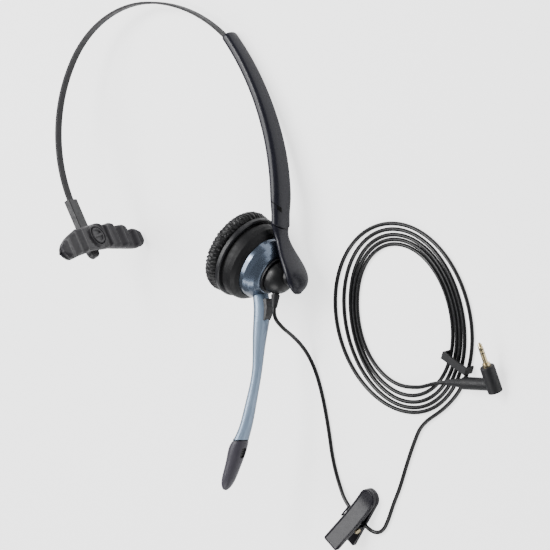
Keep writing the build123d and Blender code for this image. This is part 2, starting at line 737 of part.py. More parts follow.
def lugs(reach, height_from, height_to, inner, outer):
    """A pair of ears round the clip's pivot, between two widths."""
    with BuildPart() as ears:
        with BuildSketch(clip_side):
            with Locations((clip_pivot[0], (height_from + height_to) / 2)):
                Rectangle(2 * reach, height_to - height_from)
            with Locations(clip_pivot):
                Circle(reach)
        extrude(amount=outer, both=True)
        with BuildSketch(clip_side):
            with Locations((clip_pivot[0], clip_pivot[1])):
                Rectangle(20, 20)
        extrude(amount=inner, both=True, mode=Mode.SUBTRACT)
    return ears.part


with BuildPart() as clip_base:
    with BuildSketch(clip_plane):
        RectangleRounded(clip_length, clip_width, 4.5)
    extrude(amount=clip_plate)
    add(lugs(2.0, clip_plate - 0.3, clip_pivot[1], 3.6, 4.8))
    with BuildSketch(clip_side):
        with Locations(clip_pivot):
            Circle(clip_pin_radius + running_gap)
    extrude(amount=6, both=True, mode=Mode.SUBTRACT)
clip_base.part.label = "clip_base"

with BuildPart() as clip_jaw:
    with BuildSketch(clip_side) as jaw_sketch:
        with BuildLine() as jaw_line:
            Polyline((-17, 13.2), (-10, 10.2), (-5.5, 8.2), (-1, 6.4), (9, 3.5), (17, 2.8))
        trace(jaw_line.line, line_width=clip_plate)
    extrude(amount=clip_width / 2, both=True)
    with BuildSketch(clip_plane):
        RectangleRounded(clip_length, clip_width, 4.5)
    extrude(amount=20, mode=Mode.INTERSECT)
    add(lugs(1.8, clip_pivot[1], 8.0, 2.2, 3.3))
    with BuildSketch(clip_side):
        with Locations(clip_pivot):
            Circle(clip_pin_radius + running_gap)
    extrude(amount=6, both=True, mode=Mode.SUBTRACT)
clip_jaw.part.label = "clip_jaw"

with BuildPart() as clip_pin:
    with BuildSketch(clip_side):
        with Locations(clip_pivot):
            Circle(clip_pin_radius)
    extrude(amount=4.9, both=True)
    for side in (-1, 1):
        with BuildSketch(clip_side.offset(side * 4.85)):
            with Locations(clip_pivot):
                Circle(1.5)
        extrude(amount=side * 0.5)
clip_pin.part.label = "clip_pin"

with BuildPart() as clip_spring:
    with BuildSketch(clip_side):
        with Locations(clip_pivot):
            Circle(1.9)
            Circle(1.0, mode=Mode.SUBTRACT)
    extrude(amount=1.9, both=True)
clip_spring.part.label = "clip_spring"

with BuildPart() as clip_eyelet:
    with BuildSketch(clip_side.offset(-clip_width / 2)):
        with Locations((clip_cord_along, clip_cord_height)):
            Circle(2.2)
        with Locations((clip_cord_along, clip_cord_height / 2)):
            Rectangle(4.4, clip_cord_height)
        with Locations((clip_cord_along, clip_cord_height)):
            Circle(lead_radius + 0.1, mode=Mode.SUBTRACT)
    extrude(amount=-1.6)
clip_eyelet.part.label = "clip_eyelet"

on_cord = [
    cord_run, cord_coil, coil_tie, plug_strain_relief, plug_leg, plug_body, *plug_pieces,
    pin_tip, clip_base, clip_jaw, clip_pin, clip_spring, clip_eyelet,
]
for piece in headset + on_cord:
    export_step(piece.part, f"parts/{piece.part.label}.step")
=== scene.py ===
import math
import bmesh
import bpy
from mathutils import Matrix, Vector, noise


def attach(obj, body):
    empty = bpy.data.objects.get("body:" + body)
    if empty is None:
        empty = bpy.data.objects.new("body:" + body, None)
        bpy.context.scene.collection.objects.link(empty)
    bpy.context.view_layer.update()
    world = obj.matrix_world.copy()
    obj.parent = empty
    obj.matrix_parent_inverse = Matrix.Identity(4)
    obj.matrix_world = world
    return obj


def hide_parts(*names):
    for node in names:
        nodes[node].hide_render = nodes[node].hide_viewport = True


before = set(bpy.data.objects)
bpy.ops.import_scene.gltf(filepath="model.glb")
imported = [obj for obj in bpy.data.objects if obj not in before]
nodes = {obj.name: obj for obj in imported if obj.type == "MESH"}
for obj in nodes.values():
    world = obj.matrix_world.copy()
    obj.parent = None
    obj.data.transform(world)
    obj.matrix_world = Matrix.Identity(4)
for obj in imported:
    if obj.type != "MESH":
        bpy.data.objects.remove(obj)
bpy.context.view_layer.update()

# ---- Camera: a long lens, above the ear capsule's side of the table ----
# The headset lies tilted on the table. Its own plane has X from the temple pad to
# the ear capsule, Y to the crown and Z across the head.
MM = 0.001
table_up = Vector((-0.1398, -0.1717, 0.97518)).normalized()
table_x = Vector((0.99018, -0.02424, 0.13768)).normalized()
table_y = table_up.cross(table_x)
table_origin = Vector((-42.625, 12.342, -26.041))
lay_down = Matrix((table_x, table_y, table_up))


def laid(x, y, z=0.0):
    """A point of the headset's own plane, in mm, as it lies on the table, in metres."""
    return lay_down @ (Vector((x, y, z)) - table_origin) * MM


def turned_down(x, y, z=0.0):
    """A direction of the headset's own plane, as it lies on the table."""
    return (lay_down @ Vector((x, y, z))).normalized()


def in_scene(name, data):
    """A new object that shows the data, linked into the scene."""
    thing = bpy.data.objects.new(name, data)
    bpy.context.scene.collection.objects.link(thing)
    return thing


view_back = turned_down(0.616, 0, 0.788)
view_right = turned_down(0.788, 0, -0.616)
view_up = view_back.cross(view_right)
camera_distance = 4.0
frame_width = 0.275
sensor_width = 36
aim_right, aim_down = 0.0125, 0.0075
aim = laid(0, 0) + view_right * aim_right - view_up * aim_down
camera_data = bpy.data.cameras.new("camera")
camera_data.sensor_width = sensor_width
camera_data.lens = sensor_width * camera_distance / frame_width
camera_data.clip_start = 0.1
camera_data.clip_end = 50
camera = in_scene("camera", camera_data)
camera.matrix_world = Matrix.Translation(aim + view_back * camera_distance) @ Matrix(
    (view_right, view_up, view_back)
).transposed().to_4x4()
bpy.context.scene.camera = camera

# ---- Table and studio: a matt white table, one small lamp and three soft cards ----
# Table and surroundings glow more toward the camera than onto the headset, so they look
# white while the black mouldings stay dark.
def glow_seen(tree, strength, seen, unseen):
    """Set an emission strength that is larger by seen where the camera looks at it."""
    amount = tree.nodes.new("ShaderNodeMath")
    amount.operation = "MULTIPLY_ADD"
    amount.inputs[1].default_value = seen
    amount.inputs[2].default_value = unseen
    ray = tree.nodes.new("ShaderNodeLightPath")
    tree.links.new(ray.outputs["Is Camera Ray"], amount.inputs[0])
    tree.links.new(amount.outputs[0], strength)


floor_half = 6.0
floor_mesh = bpy.data.meshes.new("floor")
floor_mesh.from_pydata(
    [(-floor_half, -floor_half, 0), (floor_half, -floor_half, 0),
     (floor_half, floor_half, 0), (-floor_half, floor_half, 0)], [], [(0, 1, 2, 3)]
)
floor = in_scene("floor", floor_mesh)
floor_paint = bpy.data.materials.new("floor_paint")
floor_paint.use_nodes = True
floor_shader = floor_paint.node_tree.nodes["Principled BSDF"]
floor_shader.inputs["Base Color"].default_value = (0.93, 0.93, 0.935, 1)
floor_shader.inputs["Roughness"].default_value = 0.8
floor_shader.inputs["Emission Color"].default_value = (1, 1, 1, 1)
glow_seen(floor_paint.node_tree, floor_shader.inputs["Emission Strength"], 1.6, 0.25)
floor_mesh.materials.append(floor_paint)

world = bpy.data.worlds.new("studio")
world.use_nodes = True
surroundings = world.node_tree.nodes["Background"]
surroundings.inputs["Color"].default_value = (0.96, 0.98, 1, 1)
glow_seen(world.node_tree, surroundings.inputs["Strength"], 1.6, 0.2)
bpy.context.scene.world = world
for lamp_name, place, size, power in (
    ("key_lamp", view_back * 0.72 - view_right * 0.72 + view_up * 0.5, 0.32, 6.0),
    ("left_card", view_back * 0.45 - view_right * 1.1 + view_up * 0.15, 0.9, 15.0),
    ("right_card", view_back * 0.25 + view_right * 1.15 + view_up * 0.1, 0.7, 4.0),
    ("low_card", view_back * 0.3 - view_right * 0.3 - view_up * 1.1, 0.6, 5.0),
):
    lamp_data = bpy.data.lights.new(lamp_name, "AREA")
    lamp_data.size = size
    lamp_data.energy = power
    lamp = in_scene(lamp_name, lamp_data)
    lamp.location = place
    lamp.rotation_euler = (-place).to_track_quat("-Z", "Y").to_euler()


# ---- Cord: a limp 2 mm cord with a smooth soft jacket ----
# It leaves the ball through its strain relief, drops to the table, runs through the
# clip and into a loose coil of five turns, and ends in the plug's strain relief.
def new_group(name, inputs, outputs):
    """An empty shader node group with float or colour sockets."""
    group = bpy.data.node_groups.new(name, "ShaderNodeTree")
    for label, kind, value in inputs:
        socket = group.interface.new_socket(label, in_out="INPUT", socket_type=kind)
        socket.default_value = value
    for label, kind in outputs:
        group.interface.new_socket(label, in_out="OUTPUT", socket_type=kind)
    start = group.nodes.new("NodeGroupInput")
    end = group.nodes.new("NodeGroupOutput")
    return group, start, end


FLOAT, COLOUR = "NodeSocketFloat", "NodeSocketColor"


def add_noise(tree, scale, detail, coordinates):
    """A noise texture in the object's own coordinates; scale is a number or a socket."""
    cloud = tree.nodes.new("ShaderNodeTexNoise")
    cloud.inputs["Detail"].default_value = detail
    tree.links.new(coordinates, cloud.inputs["Vector"])
    if isinstance(scale, (int, float)):
        cloud.inputs["Scale"].default_value = scale
    else:
        tree.links.new(scale, cloud.inputs["Scale"])
    return cloud


# Moulded surfaces share a fine grain, a slow drift of tone and faint handling marks.
grain, grain_in, grain_out = new_group(
    "moulded_grain",
    [("Grain Scale", FLOAT, 4000.0), ("Drift Scale", FLOAT, 60.0),
     ("Tone A", COLOUR, (0, 0, 0, 1)), ("Tone B", COLOUR, (0, 0, 0, 1)),
     ("Smooth", FLOAT, 0.3), ("Rough", FLOAT, 0.5)],
    [("Colour", COLOUR), ("Roughness", FLOAT), ("Height", FLOAT)],
)
grain_place = grain.nodes.new("ShaderNodeTexCoord").outputs["Object"]
fine_noise = add_noise(grain, grain_in.outputs["Grain Scale"], 3.0, grain_place)
drift_noise = add_noise(grain, grain_in.outputs["Drift Scale"], 4.0, grain_place)
mark_noise = add_noise(grain, 420.0, 6.0, grain_place)
tone = grain.nodes.new("ShaderNodeMix")
tone.data_type = "RGBA"
grain.links.new(drift_noise.outputs["Fac"], tone.inputs["Factor"])
grain.links.new(grain_in.outputs["Tone A"], tone.inputs["A"])
grain.links.new(grain_in.outputs["Tone B"], tone.inputs["B"])
grain.links.new(tone.outputs["Result"], grain_out.inputs["Colour"])
marks = grain.nodes.new("ShaderNodeMapRange")
marks.inputs["From Min"].default_value = 0.35
marks.inputs["From Max"].default_value = 0.65
grain.links.new(mark_noise.outputs["Fac"], marks.inputs["Value"])
grain.links.new(grain_in.outputs["Smooth"], marks.inputs["To Min"])
grain.links.new(grain_in.outputs["Rough"], marks.inputs["To Max"])
grain.links.new(marks.outputs["Result"], grain_out.inputs["Roughness"])
grain.links.new(fine_noise.outputs["Fac"], grain_out.inputs["Height"])


def moulded(name, tone_a, tone_b, smooth, rough, grain_scale=4000.0, depth=0.00002,
            drift=60.0, metallic=0.0, coat=0.0, coat_roughness=0.1, specular=0.5):
    """A material from the moulded_grain group; depth is the grain's height in metres."""
    paint = bpy.data.materials.new(name)
    paint.use_nodes = True
    tree = paint.node_tree
    shader = tree.nodes["Principled BSDF"]
    shader.inputs["Metallic"].default_value = metallic
    shader.inputs["Coat Weight"].default_value = coat
    shader.inputs["Coat Roughness"].default_value = coat_roughness
    shader.inputs["Specular IOR Level"].default_value = specular
    surface = tree.nodes.new("ShaderNodeGroup")
    surface.node_tree = grain
    for label, value in (("Grain Scale", grain_scale), ("Drift Scale", drift),
                         ("Tone A", (*tone_a, 1)), ("Tone B", (*tone_b, 1)),
                         ("Smooth", smooth), ("Rough", rough)):
        surface.inputs[label].default_value = value
    bump = tree.nodes.new("ShaderNodeBump")
    bump.inputs["Distance"].default_value = depth
    bump.inputs["Strength"].default_value = 1.0
    tree.links.new(surface.outputs["Colour"], shader.inputs["Base Color"])
    tree.links.new(surface.outputs["Roughness"], shader.inputs["Roughness"])
    tree.links.new(surface.outputs["Height"], bump.inputs["Height"])
    tree.links.new(bump.outputs["Normal"], shader.inputs["Normal"])
    return paint


def finish_nodes(paint, *names):
    """Give CAD nodes a material in place of their own."""
    for name in names:
        nodes[name].data.materials.clear()
        nodes[name].data.materials.append(paint)


jacket = moulded("cord_jacket_skin", (0.006, 0.006, 0.007), (0.011, 0.011, 0.012), 0.28, 0.42,
                 grain_scale=2500, depth=0.00001, specular=0.45)
cord_radius = 0.001
relief_end = laid(16.6158, -23.8151, 1.5305)
relief_ahead = laid(16.3922, -28.2872, 1.9778)
clip_along = Vector((0.6655, 0.7467, 0)).normalized()
clip_across = Vector((-clip_along.y, clip_along.x, 0))
clip_middle = Vector((0.08475, -0.14, 0))


def on_clip(along, across, height):
    """A point of the clip's own frame, in mm, in metres on the table."""
    return clip_middle + (clip_along * along + clip_across * across + Vector((0, 0, height))) * MM


def in_mm(*points):
    """Points given in mm on the table, in metres."""
    return [Vector(point) * MM for point in points]


route = [relief_end, relief_ahead] + in_mm(
    (64.0, -41.5, 21.5), (62.2, -47.0, 13.5), (61.3, -53.0, 7.0), (61.7, -60.0, 2.6),
    (63.9, -69.0, 1.0), (66.6, -81.5, 1.0), (68.1, -97.0, 1.0), (68.6, -112.0, 1.0),
    (71.2, -124.3, 1.0),
) + [on_clip(-1.0, 9.6, 2.9), on_clip(-1.0, -7.5, 2.9)] + in_mm(
    (94.2, -148.7, 1.4), (99.4, -147.2, 1.0), (103.9, -141.4, 1.0), (108.4, -133.6, 1.0),
    (114.6, -124.6, 1.0), (120.8, -113.0, 1.0), (128.2, -100.9, 1.2), (134.9, -91.4, 1.1),
)

# The coil's turns lie beside each other and fan out away from the tie. Each list is how
# far successive passes lie from the coil's middle, in mm, on one side of it.
coil_middle = Vector((0.1294, -0.0397, 0))
coil_start = -62.0
coil_turns = 4.9
points_per_turn = 18
passes = {
    0: [47.9, 42.6, 39.8, 37.2, 34.4],
    90: [49.6, 46.8, 44.0, 41.6, 39.2],
    180: [48.0, 41.6, 36.9, 34.6, 32.0],
    270: [47.0, 44.6, 41.8, 38.4, 34.0],
}


def pass_radius(side, turn):
    """How far the cord is from the middle on one side, after so many turns."""
    place = turn - ((side - coil_start) % 360) / 360
    values = passes[side]
    lower = max(0, min(len(values) - 2, math.floor(place)))
    return values[lower] + (values[lower + 1] - values[lower]) * (place - lower)


for step in range(int(coil_turns * points_per_turn) + 1):
    turn = step / points_per_turn
    angle = math.radians(coil_start + 360 * turn)
    weights = {0: max(math.cos(angle), 0) ** 2, 90: max(math.sin(angle), 0) ** 2,
               180: max(-math.cos(angle), 0) ** 2, 270: max(-math.sin(angle), 0) ** 2}
    radius = sum(weight * pass_radius(side, turn) for side, weight in weights.items()) * MM
    route.append(coil_middle + Vector((math.cos(angle), math.sin(angle), 0)) * radius
                 + Vector((0, 0, cord_radius)))
route += in_mm((136.0, -73.0, 2.0), (144.0, -71.4, 3.8), (151.5, -69.6, 4.6),
               (160.0, -69.1, 4.6))


def nurbs(name, points, thickness):
    """One smooth open spline through its given control points, as a round cord."""
    line = bpy.data.curves.new(name, "CURVE")
    line.dimensions = "3D"
    line.bevel_depth = thickness
    line.bevel_resolution = 5
    line.resolution_u = 8
    line.use_fill_caps = True
    spline = line.splines.new("NURBS")
    spline.points.add(len(points) - 1)
    for control, point in zip(spline.points, points):
        control.co = (*point, 1)
    spline.order_u = 3
    spline.use_endpoint_u = True
    return in_scene(name, line)


cord = nurbs("cord", route, cord_radius)
cord.data.materials.append(jacket)
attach(cord, "yoke")
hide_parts("cord_run", "cord_coil")

rubber = moulded("soft_rubber", (0.01, 0.01, 0.012), (0.018, 0.018, 0.02), 0.42, 0.6,
                 grain_scale=3000, depth=0.00003)
black_plastic = moulded("black_moulding", (0.01, 0.01, 0.012), (0.018, 0.018, 0.021), 0.35, 0.5)
gold = moulded("gold_plate", (0.86, 0.7, 0.38), (0.72, 0.62, 0.42), 0.16, 0.3, metallic=1.0,
               grain_scale=1500, depth=0.000004)
steel = moulded("plain_steel", (0.5, 0.5, 0.52), (0.4, 0.4, 0.42), 0.22, 0.36, metallic=1.0,
                grain_scale=2500, depth=0.000005)
finish_nodes(rubber, "coil_tie", "plug_strain_relief", "plug_leg", "plug_body",
             "cord_strain_relief")
finish_nodes(gold, "plug_collar", "pin_sleeve", "pin_ring", "pin_tip", "clip_pin")
finish_nodes(black_plastic, "pin_insulator_rear", "pin_insulator_front")

# ---- Clip: holds the cord to clothing ----
# Two black mouldings turn on a gold pin, and a small coil spring holds their round jaw
# ends shut. Each plate has a beaded edge and a square handle end, and the cord runs
# between them through a wire hoop that is fixed to the lower plate.
clip_gloss = moulded("clip_gloss", (0.008, 0.007, 0.011), (0.013, 0.012, 0.018), 0.24, 0.3,
                     grain_scale=2500, depth=0.000001, specular=0.4)
finish_nodes(clip_gloss, "clip_base", "clip_jaw", "clip_eyelet")
finish_nodes(steel, "clip_spring")


def through(points, place):
    """Straight-line interpolation through (place, value) pairs."""
    for (x0, y0), (x1, y1) in zip(points, points[1:]):
        if place <= x1:
            return y0 + (y1 - y0) * max(0.0, (place - x0) / (x1 - x0))
    return points[-1][1]


def join_rings(build, rings, closed=False, caps=()):
    """Put faces between successive rings of corners, and a cap on each ring in caps."""
    for ring, following in zip(rings, rings[1:] + rings[:1] if closed else rings[1:]):
        for corner in range(len(ring)):
            after = (corner + 1) % len(ring)
            build.faces.new((ring[corner], ring[after], following[after], following[corner]))
    for cap in caps:
        build.faces.new(rings[cap])


def as_mesh(name, build, weld=0.0):
    """The built faces as a mesh, facing outward; corners closer than weld become one."""
    if weld:
        bmesh.ops.remove_doubles(build, verts=build.verts, dist=weld)
    bmesh.ops.recalc_face_normals(build, faces=build.faces)
    mesh = bpy.data.meshes.new(name)
    build.to_mesh(mesh)
    build.free()
    return mesh


def as_piece(name, mesh, paint, body):
    """Put a finished mesh in the scene on its body, smoothly shaded."""
    mesh.materials.clear()
    mesh.materials.append(paint)
    mesh.polygons.foreach_set("use_smooth", [True] * len(mesh.polygons))
    piece = in_scene(name, mesh)
    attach(piece, body)
    return piece


handle_end, jaw_end = -17.2, 17.1
handle_corner, jaw_bend = -16.0, 12.0
plate_half = 5.1
plate_columns, plate_rows = 102, 30


def plate_skin(name, body, rise, low, high, rim):
    """Half-round jaw end, square handle end and a raised rim, over a plate's middle line."""
    build = bmesh.new()
    loops = []
    for column in range(plate_columns + 1):
        share = (1 - math.cos(math.pi * column / plate_columns)) / 2
        along = handle_end + (jaw_end - handle_end) * share
        if along < handle_corner:
            half = 3.9 + math.sqrt(max(0.0, 1.44 - (handle_corner - along) ** 2))
        elif along > jaw_bend:
            half = math.sqrt(max(0.04, 26.1 - (along - jaw_bend) ** 2))
        else:
            half = plate_half
        loop = []
        for row in range(plate_rows + 1):
            across = half * math.sin(math.pi * (row / plate_rows - 0.5))
            edge = min(half - abs(across), along - handle_end, jaw_end - along)
            bead = rim * max(0.0, 1 - abs(edge - 0.65) / 0.4) - 0.3 * max(0.0, 1 - edge / 0.35)
            loop.append(build.verts.new(on_clip(along, across, rise(along) + high + bead)))
        for across in (half, -half):
            loop.append(build.verts.new(on_clip(along, across, rise(along) + low)))
        loops.append(loop)
    join_rings(build, loops, caps=(0, -1))
    as_piece(name, as_mesh(name, build), clip_gloss, body)


jaw_line = [(-21.0, 14.98), (-10, 10.2), (-5.5, 8.2), (-1, 6.4), (9, 3.5), (21.0, 2.45)]


def jaw_rise(along):
    """Height of the upper plate's middle line, with its bends rounded off."""
    return sum(through(jaw_line, along + 0.8 * step) for step in range(-4, 5)) / 9


def base_rise(along):
    """Height of the lower plate's middle line, which is straight."""
    return 0.0


plate_skin("jaw_skin", "jaw", jaw_rise, -0.88, 1.0, 0.35)
plate_skin("base_skin", "yoke", base_rise, 0.03, 1.77, 0.0)
hoop = bpy.data.curves.new("cord_hoop", "CURVE")
hoop.dimensions = "3D"
hoop.bevel_depth = 0.0005
hoop.bevel_resolution = 3
hoop_line = hoop.splines.new("POLY")
hoop_corners = [(-3.4, 5.75, 8.0), (1.6, 5.75, 6.3), (1.6, 5.75, 0.9), (-3.4, 5.75, 0.9)]
hoop_line.points.add(len(hoop_corners) - 1)
for control, corner in zip(hoop_line.points, hoop_corners):
    control.co = (*on_clip(*corner), 1)
hoop_line.use_cyclic_u = True
hoop.materials.append(clip_gloss)
hoop_piece = in_scene("cord_hoop", hoop)
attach(hoop_piece, "yoke")

# ---- Spring band: the strip over the head ----
# Spring steel under a thin black enamel. One end carries a moulded shoe that slides
# inside the arm, and the other is pressed into the moulded stem of the temple pad.
enamel = moulded("strip_enamel", (0.006, 0.006, 0.008), (0.011, 0.01, 0.013), 0.36, 0.48,
                 grain_scale=1800, depth=0.000006, specular=0.3)
finish_nodes(enamel, "spring_band")
finish_nodes(black_plastic, "slider_shoe", "stem")

# ---- Arm and yoke: the mouldings that carry the ear capsule ----
# Satin slate ABS in screwed and snapped shells. The arm turns on a steel pin in the
# yoke's neck, and a leaf spring inside its mouth holds the strip where it is set.
slate = moulded("slate_satin", (0.008, 0.008, 0.014), (0.014, 0.014, 0.023), 0.27, 0.34,
                grain_scale=5000, depth=0.000008, coat=0.06, coat_roughness=0.2, specular=0.38)
arm_slate = slate.copy()
arm_slate.name = "slate_satin_arm"

# Dark, matt marks on a shell: dark parting lines, and painted shade in slots and joints.
# Each is marked where two distances, measured along the headset's own axes, both lie
# between limits: out along Axis A plus Slope times B, and along Axis B.
joint_and_shade_mask, slot_in, slot_out = new_group(
    "joint_and_shade_mask",
    [("Axis A", "NodeSocketVector", (0, 0, 0)), ("Axis B", "NodeSocketVector", (0, 0, 0)),
     ("Slope", FLOAT, 0.0), ("Low A", FLOAT, 0.0), ("High A", FLOAT, 0.0),
     ("Low B", FLOAT, 0.0), ("High B", FLOAT, 0.0)],
    [("Mask", FLOAT)],
)
slot_place = joint_and_shade_mask.nodes.new("ShaderNodeTexCoord").outputs["Object"]
measures = []
for axis_name in ("Axis A", "Axis B"):
    measure = joint_and_shade_mask.nodes.new("ShaderNodeVectorMath")
    measure.operation = "DOT_PRODUCT"
    joint_and_shade_mask.links.new(slot_place, measure.inputs[0])
    joint_and_shade_mask.links.new(slot_in.outputs[axis_name], measure.inputs[1])
    measures.append(measure.outputs["Value"])
leaning = joint_and_shade_mask.nodes.new("ShaderNodeMath")
leaning.operation = "MULTIPLY_ADD"
joint_and_shade_mask.links.new(measures[1], leaning.inputs[0])
joint_and_shade_mask.links.new(slot_in.outputs["Slope"], leaning.inputs[1])
joint_and_shade_mask.links.new(measures[0], leaning.inputs[2])
tests = []
for value, limit, operation in ((leaning.outputs[0], "Low A", "GREATER_THAN"),
                                (leaning.outputs[0], "High A", "LESS_THAN"),
                                (measures[1], "Low B", "GREATER_THAN"),
                                (measures[1], "High B", "LESS_THAN")):
    test = joint_and_shade_mask.nodes.new("ShaderNodeMath")
    test.operation = operation
    joint_and_shade_mask.links.new(value, test.inputs[0])
    joint_and_shade_mask.links.new(slot_in.outputs[limit], test.inputs[1])
    tests.append(test.outputs[0])
product = tests[0]
for other in tests[1:]:
    both = joint_and_shade_mask.nodes.new("ShaderNodeMath")
    both.operation = "MULTIPLY"
    joint_and_shade_mask.links.new(product, both.inputs[0])
    joint_and_shade_mask.links.new(other, both.inputs[1])
    product = both.outputs[0]
joint_and_shade_mask.links.new(product, slot_out.inputs["Mask"])


def paint_joint_and_shade(paint, axis_a, axis_b, slope, a_limits, b_limits, dark):
    """Paint a dark, matt mark (a parting line, or painted shade in a slot or joint) into a
    moulded material; limits are in mm of the headset's own plane.
    """
    tree = paint.node_tree
    mask = tree.nodes.new("ShaderNodeGroup")
    mask.node_tree = joint_and_shade_mask
    offset_a = table_origin.dot(Vector(axis_a))
    offset_b = table_origin.dot(Vector(axis_b))
    mask.inputs["Axis A"].default_value = lay_down @ Vector(axis_a)
    mask.inputs["Axis B"].default_value = lay_down @ Vector(axis_b)
    mask.inputs["Slope"].default_value = slope
    for label, value in (("Low A", a_limits[0]), ("High A", a_limits[1])):
        mask.inputs[label].default_value = (value - offset_a - slope * offset_b) * MM
    for label, value in (("Low B", b_limits[0]), ("High B", b_limits[1])):
        mask.inputs[label].default_value = (value - offset_b) * MM
    shader = tree.nodes["Principled BSDF"]
    source = shader.inputs["Base Color"].links[0].from_socket
    blend = tree.nodes.new("ShaderNodeMix")
    blend.data_type = "RGBA"
    blend.inputs["B"].default_value = (*dark, 1)
    tree.links.new(mask.outputs["Mask"], blend.inputs["Factor"])
    tree.links.new(source, blend.inputs["A"])
    tree.links.new(blend.outputs["Result"], shader.inputs["Base Color"])
    roughness = shader.inputs["Roughness"].links[0].from_socket
    dull = tree.nodes.new("ShaderNodeMath")
    dull.operation = "MAXIMUM"
    tree.links.new(roughness, dull.inputs[0])
    tree.links.new(mask.outputs["Mask"], dull.inputs[1])
    tree.links.new(dull.outputs[0], shader.inputs["Roughness"])


# The inner shell's catch: a slanting dark parting line that ends in a small slot, shown as
# painted shade: a near-black matt patch on the shell.
up_axis, side_axis = (0, 1, 0), (0.788, 0, -0.616)
for up_limits, side_limits in (((36.35, 36.85), (9.0, 14.0)), ((34.6, 37.0), (13.4, 15.9))):
    paint_joint_and_shade(arm_slate, up_axis, side_axis, 0.7, up_limits, side_limits,
                (0.001, 0.001, 0.001))
finish_nodes(arm_slate, "arm_inner_cover", "arm_outer_shell")
finish_nodes(slate, "yoke_frame", "yoke_cover")
finish_nodes(steel, "detent_spring", "neck_pin", "ball_screw")

# ---- Ball and socket, and the front half of the ear capsule ----
# A black ball is screwed to the yoke and turns in a cup in the capsule's back. The
# bell-shaped front shell holds the speaker, its grille and the ring of the cushion.
gloss_black = moulded("gloss_black", (0.007, 0.007, 0.008), (0.012, 0.012, 0.013), 0.34, 0.42,
                      grain_scale=1200, depth=0.000005)
satin_black = moulded("satin_black", (0.006, 0.006, 0.007), (0.01, 0.01, 0.011), 0.48, 0.58,
                      grain_scale=3000, depth=0.000008, specular=0.3)
finish_nodes(gloss_black, "ball_shell")
finish_nodes(satin_black, "front_shell")
finish_nodes(black_plastic, "ball_socket", "cushion_ring", "speaker_grille",
             "boom_root_insert", "mic_grille")
finish_nodes(steel, "speaker_magnet", "speaker_basket", "mic_capsule")
film = moulded("speaker_film", (0.45, 0.43, 0.38), (0.5, 0.48, 0.42), 0.2, 0.3)
finish_nodes(film, "speaker_diaphragm")

# ---- Rear housing and boom: painted mouldings ----
# Blue-grey lacquer with fine metal flake under a clear coat. The boom's black root
# turns in the housing, and its tube narrows to the microphone's tip.
lacquer = moulded("flake_lacquer", (0.13, 0.17, 0.24), (0.19, 0.24, 0.32), 0.26, 0.28,
                  grain_scale=6000, depth=0.000004, metallic=0.85, coat=0.6, coat_roughness=0.1)
boom_lacquer = moulded("boom_lacquer", (0.3, 0.43, 0.6), (0.5, 0.64, 0.84), 0.32, 0.44,
                       grain_scale=3000, depth=0.00004, metallic=0.45, coat=0.2)
# Painted shade at the joint with the tip: the boom's lower end is coloured near black and matt.
paint_joint_and_shade(boom_lacquer, up_axis, (1, 0, 0), 0.0, (-99, -89.9), (-99, 99),
            (0.01, 0.01, 0.012))


def paint_edge_shade(paint, strength, dark):
    """Painted shade: darken a lacquer's colour where its surface faces away from the view, toward
    its outlines.
    """
    tree = paint.node_tree
    shader = tree.nodes["Principled BSDF"]
    facing = tree.nodes.new("ShaderNodeLayerWeight")
    facing.inputs["Blend"].default_value = 0.6
    amount = tree.nodes.new("ShaderNodeMath")
    amount.operation = "MULTIPLY"
    amount.inputs[1].default_value = strength
    tree.links.new(facing.outputs["Facing"], amount.inputs[0])
    blend = tree.nodes.new("ShaderNodeMix")
    blend.data_type = "RGBA"
    blend.inputs["B"].default_value = (*dark, 1)
    tree.links.new(amount.outputs[0], blend.inputs["Factor"])
    tree.links.new(shader.inputs["Base Color"].links[0].from_socket, blend.inputs["A"])
    tree.links.new(blend.outputs["Result"], shader.inputs["Base Color"])


# Painted shade on the rear housing and the boom: their colour darkens toward their outlines.
paint_edge_shade(lacquer, 0.7, (0.03, 0.04, 0.06))
paint_edge_shade(boom_lacquer, 1.0, (0.05, 0.07, 0.1))
finish_nodes(lacquer, "rear_housing")
finish_nodes(boom_lacquer, "boom")

# ---- Boom tip: the shell over the microphone ----
# Dark satin plastic pressed on the end of the boom, with the microphone's openings on
# the side that faces the mouth.
tip_satin = moulded("tip_satin", (0.05, 0.046, 0.06), (0.068, 0.063, 0.08), 0.4, 0.52,
                    grain_scale=3500, depth=0.00003)
finish_nodes(tip_satin, "boom_tip")

# ---- Ear cushion: a padded ring for the ear ----
# Thin black leatherette over foam, gathered in small pleats where it is drawn over the
# ring's rim. Where it lies on the table it is pressed flat.
leatherette = moulded("leatherette", (0.006, 0.006, 0.007), (0.014, 0.014, 0.015), 0.3, 0.5,
                      grain_scale=1600, depth=0.00008)
capsule_middle = Vector((-6.9, 4.4, 0))
capsule_out = Vector((0.883, -0.469, 0)).normalized()
capsule_up = Vector((-capsule_out.y, capsule_out.x, 0))
capsule_side = Vector((0, 0, 1))


def capsule_place(point):
    """Along the capsule's axis, out from it, and round it: mm, mm and radians."""
    local = lay_down.transposed() @ (point / MM) + table_origin - capsule_middle
    up, side = local.dot(capsule_up), local.dot(capsule_side)
    return local.dot(capsule_out), math.hypot(up, side), math.atan2(side, up)


def on_capsule(along, out, around):
    """A point of the capsule's own frame on the table, in metres."""
    return laid(*(capsule_middle + capsule_out * along
                  + (capsule_up * math.cos(around) + capsule_side * math.sin(around)) * out))


def applied(piece):
    """The piece's mesh with its modifiers made permanent."""
    evaluated = piece.evaluated_get(bpy.context.evaluated_depsgraph_get())
    return bpy.data.meshes.new_from_object(evaluated)


